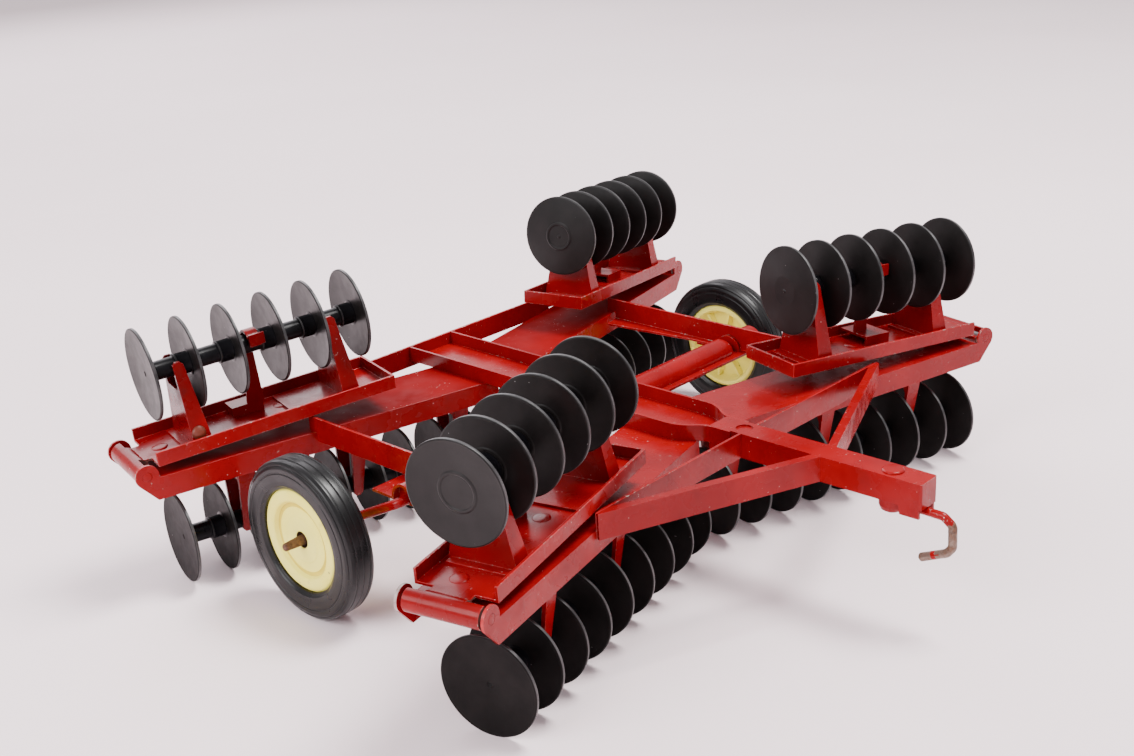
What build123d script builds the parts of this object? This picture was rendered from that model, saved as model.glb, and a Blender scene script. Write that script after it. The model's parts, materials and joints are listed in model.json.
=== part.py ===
from build123d import *
import os
from math import radians, degrees, sin, cos, tan, atan2, hypot

# Pressed-steel toy disc harrow.  Millimetres, +Z up.
# X runs across the machine, Y runs rearwards (the hitch points to -Y).
# The pieces are laid out with y = 0 near the wheels and moved at the end so
# that the origin is the middle of the bounding box, at floor level.

# ------------------------------------------------------------------ sizes
SHEET = 1.0            # thickness of the pressed sheet
TOP_Z = 55.0           # top edge of drawbar, trough walls, rails and strips

# drawbar: inverted channel
BAR_W = 10.0
BAR_BOTTOM = 45.6
BAR_FRONT = -171.0
BAR_REAR = -84.0

# centre trough: channel open upwards
TROUGH_W = 25.0
TROUGH_FLOOR = 48.8    # underside of the floor
TROUGH_FRONT = -70.0
TROUGH_REAR = 72.5

# rails
RAIL_X = 86.0          # inner face of a side rail
RAIL_BOTTOM = 45.2
RAIL_FRONT = -66.5
RAIL_REAR = 46.0
REAR_RAIL_Y = 72.5
REAR_RAIL_X = 84.0

# cross tube and axle bearings: arched cover with flanges
ARCH_Y = -24.4         # axis of the crank axle
ARCH_Z = 44.5
ARCH_R = 6.2           # outside radius of the arch
FLANGE_Z = 43.6        # underside of the flanges
TUBE_END = 84.6
BEARING_END = 101.0

# beams: inverted channels that carry the gangs
BEAM_W = 31.4
BEAM_V = 4.2           # middle of the beam, behind the axis of its gang
BEAM_TOP = 48.8
BEAM_BOTTOM = 40.2
BEAM_IN = 6.2          # inner ends, from the middle of the machine
HINGE_U = 140.2        # hinge axis, along the beam
HINGE_Z = 50.1
PIN_R = 1.75
EAR_R = 4.4            # hinge ears on the beam's flanges
ROLL_R = 3.9           # roll on the wing, between the ears
FIT = 0.05             # radial clearance of pins and running fits

# discs
DISC_R = 17.5
DISC_T = 1.3
DISC_DISH = 1.3
TUBE_R = 3.65
COLLAR_R = 4.2
COLLAR_END = 7.2       # outer end of a collar, from the disc's inner face
SPACING = 15.76        # lower gangs
WING_SPACING = 16.54
LOWER_COUNT = 9
WING_COUNT = 6
GANG_Z = DISC_R        # lower gangs rest on the floor
WING_H = 32.3          # wing gang axis above the hinge axis
WING_FIRST = 12.45     # hinge axis to the outermost wing disc

# wheels
TYRE_R = 30.3
TYRE_W = 12.0
HUB_R = 19.6
WHEEL_X = 121.8
ROD_R = 1.8
CRANK_ARM = 32.3
AXLE_Z = TYRE_R        # wheels stand on the floor

# beam table: name, row (-1 front, +1 rear), origin |x|, origin y, angle
BEAMS = [
    ("front", -1, 11.0, -69.65, 13.7),
    ("rear", +1, 12.1, 38.0, 12.4),
]
# side table: name, side (-1 is the right-hand side, +1 the left-hand side)
SIDES = [("right", -1), ("left", +1)]
# wing table: row, side -> yaw and opening angle of the resting wing, shift across the beam
WINGS = {
    ("front", "right"): (0.2, 2.2, 4.0),
    ("front", "left"): (2.0, 2.7, 4.4),
    ("rear", "right"): (1.6, 3.4, 4.2),
    ("rear", "left"): (1.4, 5.0, 2.4),
}

# ---------------------------------------------------------------- helpers
parts = {}


def keep(name, *solids):
    got = parts.setdefault(name, [])
    for s in solids:
        got.extend(s.solids())


def block(x0, x1, y0, y1, z0, z1):
    return Pos((x0 + x1) / 2, (y0 + y1) / 2, (z0 + z1) / 2) * Box(abs(x1 - x0), abs(y1 - y0), abs(z1 - z0))


def slab(points, move):
    """Closed flat outline given in 3-D, extruded by the vector move."""
    face = make_face(Polyline(*[Vector(*p) for p in points], close=True))
    v = Vector(*move)
    return extrude(face, amount=v.length, dir=v.normalized())


def plan(points, z0, z1):
    return slab([(x, y, z0) for x, y in points], (0, 0, z1 - z0))


def wall(p, q, z0, z1, t, grow=0.0):
    """Upright strip from p to q, its thickness to the left of p->q."""
    d = hypot(q[0] - p[0], q[1] - p[1])
    e = ((q[0] - p[0]) / d, (q[1] - p[1]) / d)
    n = (-e[1], e[0])
    p = (p[0] - e[0] * grow, p[1] - e[1] * grow)
    q = (q[0] + e[0] * grow, q[1] + e[1] * grow)
    return plan([p, q, (q[0] + n[0] * t, q[1] + n[1] * t), (p[0] + n[0] * t, p[1] + n[1] * t)], z0, z1)


def rod_x(x0, x1, y, z, r):
    return Pos((x0 + x1) / 2, y, z) * Rot(0, 90, 0) * Cylinder(r, abs(x1 - x0))


def rod_y(y0, y1, x, z, r):
    return Pos(x, (y0 + y1) / 2, z) * Rot(90, 0, 0) * Cylinder(r, abs(y1 - y0))


def mirrored(shape, side):
    """Pieces are drawn for +X; side -1 mirrors them."""
    return shape if side > 0 else mirror(shape, about=Plane.YZ)


def one(*shapes):
    out = shapes[0]
    for s in shapes[1:]:
        out = out + s
    return out


# -------------------------------------------------------- wheel positions
CRANK_DROP = ARCH_Z - AXLE_Z
CRANK_RUN = (CRANK_ARM ** 2 - CRANK_DROP ** 2) ** 0.5
AXLE_Y = ARCH_Y + CRANK_RUN

# ----------------------------------------------------------------- drawbar
bar = block(-BAR_W / 2, BAR_W / 2, BAR_FRONT, BAR_REAR, BAR_BOTTOM, TOP_Z)
bar -= block(-BAR_W / 2 + SHEET, BAR_W / 2 - SHEET, BAR_FRONT + SHEET, BAR_REAR + 1, BAR_BOTTOM - 1, TOP_Z - SHEET)
bar -= Pos(0, -96.3, TOP_Z) * Cylinder(3.2, 1.3)      # shallow recess
LUG = [(-170.2, BAR_BOTTOM + 0.5), (-162.2, BAR_BOTTOM + 0.5), (-163.0, 42.4), (-170.2, 42.4)]   # y, z
for side in (-1, 1):
    x = BAR_W / 2 - SHEET if side > 0 else -BAR_W / 2
    bar += slab([(x, y, z) for y, z in LUG], (SHEET, 0, 0))
keep("drawbar", bar)

# rivet through the front of the drawbar: flat head above, domed head below
RIVET_Y = -157.4
rivet = Pos(0, RIVET_Y, TOP_Z + 0.35) * Cylinder(3.8, 0.7) + Pos(0, RIVET_Y, (TOP_Z + 45.2) / 2) * Cylinder(1.4, TOP_Z - 45.2)
dome = [(0, 45.6), (4.6, 45.6), (4.5, 42.8), (3.9, 41.3), (2.4, 40.4), (0, 40.2)]     # r, z
rivet += Pos(0, RIVET_Y, 0) * revolve(make_face(Polyline(*[Vector(r, 0, z) for r, z in dome], close=True)), axis=Axis.Z)
keep("hitch_rivet", rivet)
bar -= Pos(0, RIVET_Y, TOP_Z) * Cylinder(1.4, 6)
parts["drawbar"] = list(bar.solids())

# ------------------------------------------------------------- hitch hook
HOOK_R = 1.5
HOOK = [(-163.4, 43.8), (-176.6, 43.6), (-180.0, 41.0), (-180.2, 33.2), (-178.2, 30.6), (-168.6, 26.1)]   # y, z
hook_path = FilletPolyline(*[Vector(0, y, z) for y, z in HOOK], radius=2.4)
hook = sweep(Plane(hook_path @ 0, z_dir=hook_path % 0) * Circle(HOOK_R), path=hook_path)
keep("hitch_hook", hook)
keep("hook_stud", Pos(0, -166.6, (45.4 + TOP_Z - SHEET) / 2) * Cylinder(1.2, TOP_Z - SHEET - 45.4))

# ----------------------------------------------------------- centre trough
hw = TROUGH_W / 2
trough = block(-hw, hw, TROUGH_FRONT, TROUGH_REAR, TROUGH_FLOOR, TROUGH_FLOOR + SHEET)
for s in (-1, 1):
    trough += block(s * (hw - SHEET), s * hw, TROUGH_FRONT, TROUGH_REAR, TROUGH_FLOOR, TOP_Z)
# the walls close in on the drawbar
NECK = [(hw, TROUGH_FRONT), (12.2, -73.0), (11.3, -75.8), (10.0, -78.2), (8.4, -80.4), (7.0, -82.4), (6.2, -84.4), (6.0, -86.4), (6.0, -94.0)]   # x, y
for s in (-1, 1):
    outer = [(s * x, y) for x, y in NECK]
    inner = [(s * (x - SHEET), y + (0.4 if 1 < k < 7 else 0)) for k, (x, y) in enumerate(NECK)]
    trough += plan(outer + inner[::-1], TROUGH_FLOOR, TOP_Z)
edge = [(x - 0.2, y) for x, y in NECK if y > BAR_REAR] + [(BAR_W / 2, BAR_REAR)]
trough += plan(edge + [(-x, y) for x, y in edge[::-1]], TROUGH_FLOOR, TROUGH_FLOOR + SHEET)
trough -= Pos(-5.5, 52.0, TROUGH_FLOOR) * Cylinder(1.3, 6)
keep("centre_trough", trough)

# --------------------------------------------------------- rear cross rail
cross = block(-REAR_RAIL_X, REAR_RAIL_X, REAR_RAIL_Y, REAR_RAIL_Y + SHEET, RAIL_BOTTOM + 0.8, TOP_Z)
for s in (-1, 1):
    cross -= block(s * 74.0, s * 90.0, REAR_RAIL_Y - 1, REAR_RAIL_Y + 3, RAIL_BOTTOM - 1, BEAM_TOP)   # it stands on the beams
keep("rear_cross_rail", cross)

# --------------------------------------------------------------- side rails
for sname, side in SIDES:
    rail = block(RAIL_X, RAIL_X + SHEET, RAIL_FRONT, RAIL_REAR, BEAM_TOP, TOP_Z)
    rail += block(RAIL_X, RAIL_X + SHEET, -66.6, 41.6, RAIL_BOTTOM, BEAM_TOP)
    rail += block(RAIL_X, RAIL_X + SHEET, -78.0, RAIL_FRONT, BEAM_TOP, 51.0)
    # inner foot, wide at the rear beam and narrow at the tube
    rail += plan([(RAIL_X, 41.2), (RAIL_X - 8.0, 39.2), (RAIL_X - 3.0, -6.0), (RAIL_X - 3.0, -16.5), (RAIL_X, -16.5)],
                 RAIL_BOTTOM, RAIL_BOTTOM + SHEET)
    # notch over the arch
    rail -= rod_x(RAIL_X - 9, RAIL_X + 2, ARCH_Y, ARCH_Z, ARCH_R + 0.02)
    keep("side_rail_" + sname, mirrored(rail, side))

# --------------------------------------- cross tubes and axle bearing plates
ROD_CLEAR = ROD_R + FIT


def arch(x0, x1, front, rear, domed, bore):
    """Half-round cover on flanges; the rod runs in it."""
    a = rod_x(x0, x1, ARCH_Y, ARCH_Z, ARCH_R)
    if domed:
        a = rod_x(x0, x1 - ARCH_R, ARCH_Y, ARCH_Z, ARCH_R) + Pos(x1 - ARCH_R, ARCH_Y, ARCH_Z) * Sphere(ARCH_R)
    a &= block(x0 - 1, x1 + 1, ARCH_Y - 9, ARCH_Y + 9, FLANGE_Z, ARCH_Z + 9)
    a += block(x0, x1, front, rear, FLANGE_Z, FLANGE_Z + SHEET)
    a -= rod_x(x0 - 1, x1 + 1 if not domed else x1 - 3.0, ARCH_Y, ARCH_Z, bore)
    a -= block(x0 - 1, x1 + 1 if not domed else x1 - 3.0, ARCH_Y - bore, ARCH_Y + bore, ARCH_Z - 6, ARCH_Z)
    return a


for sname, side in SIDES:
    tube = arch(hw, TUBE_END, ARCH_Y - 9.2, ARCH_Y + 7.4, True, ARCH_R - SHEET)
    tube -= rod_x(TUBE_END - 8, TUBE_END + 2, ARCH_Y, ARCH_Z, ROD_R + 0.4)
    tube -= block(TUBE_END - 8, TUBE_END + 2, ARCH_Y - ROD_R - 0.4, ARCH_Y + ROD_R + 0.4, ARCH_Z - 6, ARCH_Z)
    keep("cross_tube_" + sname, mirrored(tube, side))
    plate = arch(TUBE_END, BEARING_END, ARCH_Y - 9.2, ARCH_Y + 17.0, False, ARCH_R - SHEET)
    plate -= block(RAIL_X - 4, RAIL_X + 1.6, ARCH_Y - 10, ARCH_Y + 10, FLANGE_Z + SHEET, TOP_Z)
    # bearing block inside the arch: the rod turns in it
    bush = rod_x(BEARING_END - 9.0, BEARING_END - 2.5, ARCH_Y, ARCH_Z, ARCH_R - SHEET)
    bush &= block(BEARING_END - 10, BEARING_END, ARCH_Y - 9, ARCH_Y + 9, ARCH_Z - 2.6, ARCH_Z + 9)
    bush -= rod_x(BEARING_END - 10, BEARING_END, ARCH_Y, ARCH_Z, ROD_CLEAR)
    # end wall at the rail, with a hole for the rod
    end = rod_x(TUBE_END, TUBE_END + SHEET, ARCH_Y, ARCH_Z, ARCH_R) & block(TUBE_END - 1, TUBE_END + 2, ARCH_Y - 9, ARCH_Y + 9, FLANGE_Z, ARCH_Z + 9)
    end -= rod_x(TUBE_END - 1, TUBE_END + 2, ARCH_Y, ARCH_Z, ROD_R + 0.4)
    end -= block(TUBE_END - 1, TUBE_END + 2, ARCH_Y - ROD_R - 0.4, ARCH_Y + ROD_R + 0.4, ARCH_Z - 6, ARCH_Z)
    keep("axle_bearing_" + sname, mirrored(one(plate, bush, end), side))

# ------------------------------------------------- front strips and braces
STRIP_Y = -98.4
BRACE_Y = -132.0
APEX = (83.4, -100.4)


def beam_frame(row, ox, oy, angle):
    """Local X outwards along the beam, local Y rearwards, on the +X side."""
    return Pos(ox, oy, 0) * Rot(0, 0, row * angle)


# everything behind the front face of the front beam
_, row, ox, oy, angle = BEAMS[0]
behind = beam_frame(row, ox, oy, angle) * block(-20, 150, BEAM_V - BEAM_W / 2, 60, 30, 70)
for sname, side in SIDES:
    # strip and brace leave the drawbar and meet in a point on the beam's face
    strip = wall((BAR_W / 2 - 2, STRIP_Y), (APEX[0], APEX[1] + SHEET), BAR_BOTTOM, TOP_Z, SHEET)
    strip -= block(-9, BAR_W / 2, -120, -80, 30, 70)
    strip -= behind
    keep("front_cross_strip_" + sname, mirrored(strip, side))
    brace = wall((BAR_W / 2 - 2, BRACE_Y - 0.8), APEX, BAR_BOTTOM, TOP_Z, SHEET)
    brace += wall((BAR_W / 2 - 2, BRACE_Y - 0.8), APEX, TOP_Z - SHEET, TOP_Z, 3.2)
    brace -= block(-9, BAR_W / 2, -150, -110, 30, 70)
    brace -= wall((-20, STRIP_Y + 0.5), (APEX[0], APEX[1] + SHEET + 0.02), 30, 70, 30)
    brace -= plan([(-20, STRIP_Y - 0.02), (APEX[0], APEX[1] + SHEET - 0.02), (120, APEX[1] + SHEET), (120, 0), (-20, 0)], 30, 70)
    brace -= behind
    keep("front_brace_" + sname, mirrored(brace, side))


# -------------------------------------------------- beams, pins, brackets

EAR_W = 7.4            # ear width at the foot
EAR_TIP_W = 4.0
HANGERS = (4.2, 51.2, 98.4)            # webs along the beam
# webs inboard of the outermost wing disc, and how far their feet reach
WING_WEBS = {"right": [(8.0, 3.2), (68.5, 20.5)], "left": [(13.4, 3.2), (74.6, 5.0)]}
WING_WEB = 21.5        # height of a wing bracket's web
# middle post: inboard of the outermost disc; foot along u and its front face; width at the foot
WING_POST = {"right": (40.3, (-1.6, 11.0), 4.55, (-2.2, 4.8)), "left": (38.4, (-3.6, 8.8), -3.0, (-3.4, 3.4))}


def bracket(x, out, z0, z1, base_v, notch_r, web=11.0, foot=2.8):
    """U-shaped gang bracket: two tapered ears, a low web and a foot.
    x is the web's face, out (+1/-1) the side to which the ears run,
    z0 the foot, z1 the gang axis, base_v half the width at the foot."""
    up = 1 if z1 > z0 else -1
    tip = z1 + up * 3.0
    ear_tip_v = notch_r + 1.5
    w0, w1 = EAR_W, EAR_TIP_W
    shapes = []
    for s in (-1, 1):
        a = (x, s * base_v, z0)
        b = (x + out * w0, s * base_v, z0)
        c = (x + out * w1, s * ear_tip_v, tip - up * 1.2)
        d = (x + out * (w1 - 1.2), s * (ear_tip_v - 0.18), tip)
        e = (x + out * 0.9, s * (ear_tip_v - 0.18), tip)
        f = (x, s * ear_tip_v, tip - up * 1.2)
        face = [a, b, c, (d[0], s * ear_tip_v, d[2]), (e[0], s * ear_tip_v, e[2]), f]
        # keep the outline flat: tips lie on the ear's own plane
        k = (ear_tip_v - base_v) / (tip - up * 1.2 - z0)
        face = [(px, s * (base_v + k * (pz - z0)), pz) for px, _, pz in face]
        shapes.append(slab(face, (0, -s * SHEET, 0)))
    k = (ear_tip_v - base_v) / (tip - up * 1.2 - z0)
    edge = lambda z, inset=0.0: base_v + k * (z - z0) - inset
    zt = tip - up * 1.0
    zw = z0 + up * web
    outline = [(-edge(z0), z0), (edge(z0), z0), (edge(zt), zt), (edge(zt, 1.3), zt), (edge(zw + up * 2, 1.5), zw + up * 2),
               (edge(zw, 2.8), zw), (-edge(zw, 2.8), zw), (-edge(zw + up * 2, 1.5), zw + up * 2), (-edge(zt, 1.3), zt), (-edge(zt), zt)]
    shapes.append(slab([(x, v, z) for v, z in outline], (out * SHEET, 0, 0)))
    shapes.append(block(x - out * foot, x + out * SHEET, -base_v + 1.0, base_v - 1.0, z0, z0 + up * SHEET))
    return one(*shapes)


V0, V1 = BEAM_V - BEAM_W / 2, BEAM_V + BEAM_W / 2      # front and rear faces of the beam
PLATE_END = HINGE_U - 4.9
PIN_REAR = {"front": 0.1, "rear": -0.6}       # end of the pin past the rear ear
for rname, row, ox, oy, angle in BEAMS:
    place = beam_frame(row, ox, oy, angle)
    for sname, side in SIDES:
        # inner end is cut parallel to the trough, a little way under it
        t = tan(radians(angle)) * row
        u_in = lambda v: (BEAM_IN - ox) / cos(radians(angle)) + v * t
        channel = plan([(u_in(V0), V0), (PLATE_END, V0), (PLATE_END, V1), (u_in(V1), V1)], BEAM_TOP - SHEET, BEAM_TOP)
        for v0, v1 in [(V0, V0 + SHEET), (V1 - SHEET, V1)]:
            # flange with a round ear for the hinge pin: u, z
            u0 = u_in(v0 if v0 < BEAM_V else v1)
            flange = [(u0, BEAM_TOP), (u0, BEAM_BOTTOM), (HINGE_U - 2.8, BEAM_BOTTOM), (HINGE_U + 3.5, HINGE_Z - 2.66),
                      (HINGE_U, HINGE_Z), (HINGE_U - 4.2, BEAM_TOP)]
            channel += slab([(u, v0, z) for u, z in flange], (0, SHEET, 0))
            channel += rod_y(v0, v1, HINGE_U, HINGE_Z, EAR_R)
        channel -= rod_y(V0 - 1, V1 + 1, HINGE_U, HINGE_Z, PIN_R + FIT)
        keep(f"{rname}_beam_{sname}", mirrored(place * channel, side))

        # pin, flush in front; domed head at the rear, or sunk into the ear
        pin = rod_y(V0, V1 + PIN_REAR[rname], HINGE_U, HINGE_Z, PIN_R)
        if PIN_REAR[rname] > 0:
            head = [(0, 0), (2.9, 0), (2.7, 0.7), (1.7, 1.3), (0, 1.5)]      # r, height
            pin += revolve(make_face(Polyline(*[Vector(HINGE_U + r, V1 + h, HINGE_Z) for r, h in head], close=True)),
                           axis=Axis((HINGE_U, V1, HINGE_Z), (0, 1, 0)))
        keep(f"hinge_pin_{rname}_{sname}", mirrored(place * pin, side))

        # hanging gang brackets; the webs face the right-hand side of the machine
        for u in HANGERS:
            keep(f"{rname}_gang_brackets_{sname}",
                 mirrored(place * bracket(u + (0 if side > 0 else EAR_W), side, BEAM_TOP - SHEET, GANG_Z, 10.2, COLLAR_R + 0.35), side))


def gang_solid(positions, x_first, x_last):
    """Disc stack on local X: dished discs, spacer tubes with collars."""
    body = rod_x(x_first, x_last, 0, 0, TUBE_R)
    for u in positions:
        # dish: rim leans outwards
        prof = [(u, 0), (u + DISC_T, 0), (u + DISC_T, 6.0), (u + DISC_T + DISC_DISH, DISC_R), (u + DISC_DISH, DISC_R), (u, 6.0)]
        disc = revolve(make_face(Polyline(*[Vector(x, r, 0) for x, r in prof], close=True)), axis=Axis.X)
        body += disc
    return body


for rname, row, ox, oy, angle in BEAMS:
    place = beam_frame(row, ox, oy, angle) * Pos(0, 0, GANG_Z)
    for sname, side in SIDES:
        us = [k * SPACING for k in range(LOWER_COUNT)]
        stack = gang_solid(us, -0.4, us[-1] + 1.7)
        # collars on the outer side of each disc but the last
        for u in us[:-1]:
            stack += rod_x(u + 0.4, u + COLLAR_END, 0, 0, COLLAR_R)
        keep(f"{rname}_gang_{sname}", mirrored(place * stack, side))

# ------------------------------------------------------------------ wings
TRAY_IN = 102.0
TRAY_OUT = 5.4
TRAY_HALF = 14.8
TRAY_Z0 = 2.0          # above the hinge axis
TRAY_Z1 = 7.5
BRIDGE = (-7.0, 7.6)   # tongue between tray and roll, about the middle of the beam
WING_AXIS = {}
for rname, row, ox, oy, angle in BEAMS:
    for sname, side in SIDES:
        yaw, opened, dv = WINGS[(rname, sname)]
        seat = beam_frame(row, ox, oy, angle) * Pos(HINGE_U, 0, HINGE_Z)
        wing = seat * Rot(0, opened, 0) * Rot(0, 0, row * yaw) * Pos(0, dv, 0)
        tray = block(-TRAY_IN, -TRAY_OUT, -TRAY_HALF, TRAY_HALF, TRAY_Z0, TRAY_Z1)
        tray -= block(-TRAY_IN + SHEET, 0, -TRAY_HALF + SHEET, TRAY_HALF - SHEET, TRAY_Z0 + SHEET, TRAY_Z1 + 1)
        # roll on the pin, drawn square to the pin, and the tongue that joins it to the tray
        roll = rod_y(V0 + 2.2, V1 - 2.2, 0, 0, ROLL_R)
        roll += plan([(-TRAY_OUT - 2.4, BEAM_V + BRIDGE[0]), (-1.0, BEAM_V + BRIDGE[0]), (-1.0, BEAM_V + BRIDGE[1]),
                      (-TRAY_OUT - 2.4, BEAM_V + BRIDGE[1])], TRAY_Z0, TRAY_Z0 + SHEET)
        for v0, v1 in [(V0, BEAM_V + BRIDGE[0]), (BEAM_V + BRIDGE[1], V1)]:
            roll -= block(-ROLL_R - 1, -0.4, v0, v1, 0.5, ROLL_R + 1)
        roll -= rod_y(V0, V1, 0, 0, PIN_R + FIT)
        keep(f"wing_tray_{rname}_{sname}",
             mirrored(one(wing * tray, seat * Rot(0, opened, 0) * roll), side))

        base = TRAY_Z0 + SHEET
        for inboard, foot in WING_WEBS[sname]:
            keep(f"wing_brackets_{rname}_{sname}",
                 mirrored(wing * bracket(-WING_FIRST - inboard, side, base, WING_H, 12.4, COLLAR_R + 0.35, WING_WEB, foot), side))
        # middle post behind the shaft: foot, blade, strap over the shaft and a
        # tab in front that points to the left-hand side of the machine
        inboard, (f0, f1), fv, (b0, b1) = WING_POST[sname]
        xm = -WING_FIRST - inboard
        saddle_r = COLLAR_R + 0.35
        post = slab([(xm + b0, saddle_r, base + 2.9), (xm + b1, saddle_r, base + 2.9), (xm + 1.5, saddle_r, WING_H),
                     (xm - 1.5, saddle_r, WING_H)], (0, SHEET, 0))
        ring = rod_x(xm - 2.3, xm + 2.3, 0, WING_H, saddle_r + 1) - rod_x(xm - 3, xm + 3, 0, WING_H, saddle_r)
        ring -= block(xm - 3, xm + 3, -9, 9, WING_H - 9, WING_H)
        foot = block(xm + f0, xm + f1, fv, 12.6, base, base + 3.9)
        foot -= block(xm + f0 - 1, xm + f1 - SHEET, fv + SHEET, 14.0, base - 1, base + 2.9)
        tab = block(xm - side * 2.2, xm + side * 3.8, -saddle_r - 1.2, -saddle_r - 0.2, WING_H + 0.4, WING_H + 4.8)
        keep(f"wing_brackets_{rname}_{sname}", mirrored(wing * one(post, ring, foot, tab), side))

        us = [-WING_FIRST - k * WING_SPACING for k in range(WING_COUNT)]
        lean = [u - DISC_DISH / 2 for u in us]
        stack = gang_solid(lean, lean[-1] - 0.4, lean[0] + 1.7)
        for u in lean[1:]:
            stack += rod_x(u + 0.4, u + COLLAR_END, 0, 0, COLLAR_R)
        keep(f"wing_gang_{rname}_{sname}", mirrored(wing * (Pos(0, 0, WING_H) * stack), side))
        WING_AXIS[(rname, sname)] = (seat, wing)

# ------------------------------------------------------------- crank axle
# one rod, bent twice each side: x, y, z
RODX = WHEEL_X + 4.6 + 6.4
CRANK = [(0, ARCH_Y, ARCH_Z), (103.2, ARCH_Y, ARCH_Z), (108.6, AXLE_Y, AXLE_Z), (RODX, AXLE_Y, AXLE_Z)]
half = FilletPolyline(*[Vector(*p) for p in CRANK], radius=3.2)
rod = sweep(Plane(half @ 0, z_dir=half % 0) * Circle(ROD_R), path=half)
keep("crank_axle", one(rod, mirror(rod, about=Plane.YZ)))

# ----------------------------------------------------------------- wheels
for sname, side in SIDES:
    x = WHEEL_X
    # hub profile, outer side first: x, r
    hub_prof = [(x - 4.6, ROD_R + FIT), (x + 4.2, ROD_R + FIT), (x + 4.2, 4.4), (x + 3.2, 5.0), (x + 3.2, 10.6), (x + 2.4, 11.6),
                (x + 2.4, 15.0), (x + 4.6, 16.4), (x + 4.6, 18.2), (x + 3.6, HUB_R), (x - 3.6, HUB_R), (x - 4.6, 18.2), (x - 4.6, 17.0),
                (x + 0.8, 15.4), (x + 0.8, 5.2), (x - 4.6, 4.6)]
    hub = revolve(make_face(Polyline(*[Vector(px, r, 0) for px, r in hub_prof], close=True)), axis=Axis.X)
    keep("wheel_hub_" + sname, mirrored(Pos(0, AXLE_Y, AXLE_Z) * hub, side))
    g = HUB_R
    tyre_prof = [(x - 3.6, g), (x + 3.6, g), (x + 5.0, g + 0.6), (x + 6.0, g + 3.0), (x + 6.0, TYRE_R - 3.6), (x + 5.2, TYRE_R - 1.4),
                 (x + 3.4, TYRE_R), (x - 3.4, TYRE_R), (x - 5.2, TYRE_R - 1.4), (x - 6.0, TYRE_R - 3.6), (x - 6.0, g + 3.0), (x - 5.0, g + 0.6)]
    tyre = revolve(make_face(Polyline(*[Vector(px, r, 0) for px, r in tyre_prof], close=True)), axis=Axis.X)
    keep("tyre_" + sname, mirrored(Pos(0, AXLE_Y, AXLE_Z) * tyre, side))

# ------------------------------------------------------- place and export
low, high = None, None
for solids in parts.values():
    for s in solids:
        b = s.bounding_box()
        low = b.min if low is None else Vector(min(low.X, b.min.X), min(low.Y, b.min.Y), min(low.Z, b.min.Z))
        high = b.max if high is None else Vector(max(high.X, b.max.X), max(high.Y, b.max.Y), max(high.Z, b.max.Z))
SHIFT = Vector(-(low.X + high.X) / 2, -(low.Y + high.Y) / 2, -low.Z)

if __name__ == "__main__":
    os.makedirs("parts", exist_ok=True)
    for old in os.listdir("parts"):
        if old.endswith(".step"):
            os.remove(os.path.join("parts", old))
    for name, solids in parts.items():
        moved = [Pos(SHIFT.X, SHIFT.Y, SHIFT.Z) * s for s in solids]
        shape = moved[0] if len(moved) == 1 else Compound(children=moved)
        shape.label = name
        export_step(shape, f"parts/{name}.step")
    print("shift", SHIFT.X, SHIFT.Y, SHIFT.Z, "size", high.X - low.X, high.Y - low.Y, high.Z - low.Z)
    print(len(parts), "nodes")
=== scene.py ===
import bpy
import bmesh
import json
import math
import random
import numpy as np
from mathutils import Matrix, Vector


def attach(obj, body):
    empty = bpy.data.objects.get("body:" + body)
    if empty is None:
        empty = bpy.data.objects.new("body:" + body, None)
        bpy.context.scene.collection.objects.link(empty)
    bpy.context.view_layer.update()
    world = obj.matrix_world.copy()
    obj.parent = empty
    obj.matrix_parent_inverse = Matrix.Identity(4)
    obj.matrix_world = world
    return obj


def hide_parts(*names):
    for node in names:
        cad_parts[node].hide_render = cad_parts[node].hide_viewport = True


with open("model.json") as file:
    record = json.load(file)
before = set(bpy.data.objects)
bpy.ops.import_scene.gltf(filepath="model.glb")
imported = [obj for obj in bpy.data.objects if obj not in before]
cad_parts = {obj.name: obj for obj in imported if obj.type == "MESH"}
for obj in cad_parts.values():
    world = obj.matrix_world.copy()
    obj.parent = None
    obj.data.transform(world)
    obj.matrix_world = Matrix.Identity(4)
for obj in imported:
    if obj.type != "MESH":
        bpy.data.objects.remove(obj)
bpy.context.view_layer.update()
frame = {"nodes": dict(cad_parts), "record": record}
record = frame["record"]
MM = 0.001
rng = random.Random(11)
# the shared frame's shift along y, in mm, from the crank axle's joint
JOINTS = {j["name"]: j for j in record["behaviour"]["joints"]}
SY = JOINTS["wheel_lift"]["pos_m"][1] * 1000 + 24.4
SIDES = (("right", -1), ("left", 1))
BEAMS = {"front": (-1, 11.0, -69.65, 13.7), "rear": (1, 12.1, 38.0, 12.4)}
HINGE_U, HINGE_Z = 140.2, 50.1
BEAM_V, BEAM_W, BEAM_TOP, BEAM_BOTTOM = 4.2, 31.4, 48.8, 40.2
TOP_Z = 55.0
NODE_BODY = {n: b for b, ns in record["behaviour"]["bodies"].items() for n in ns}


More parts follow.
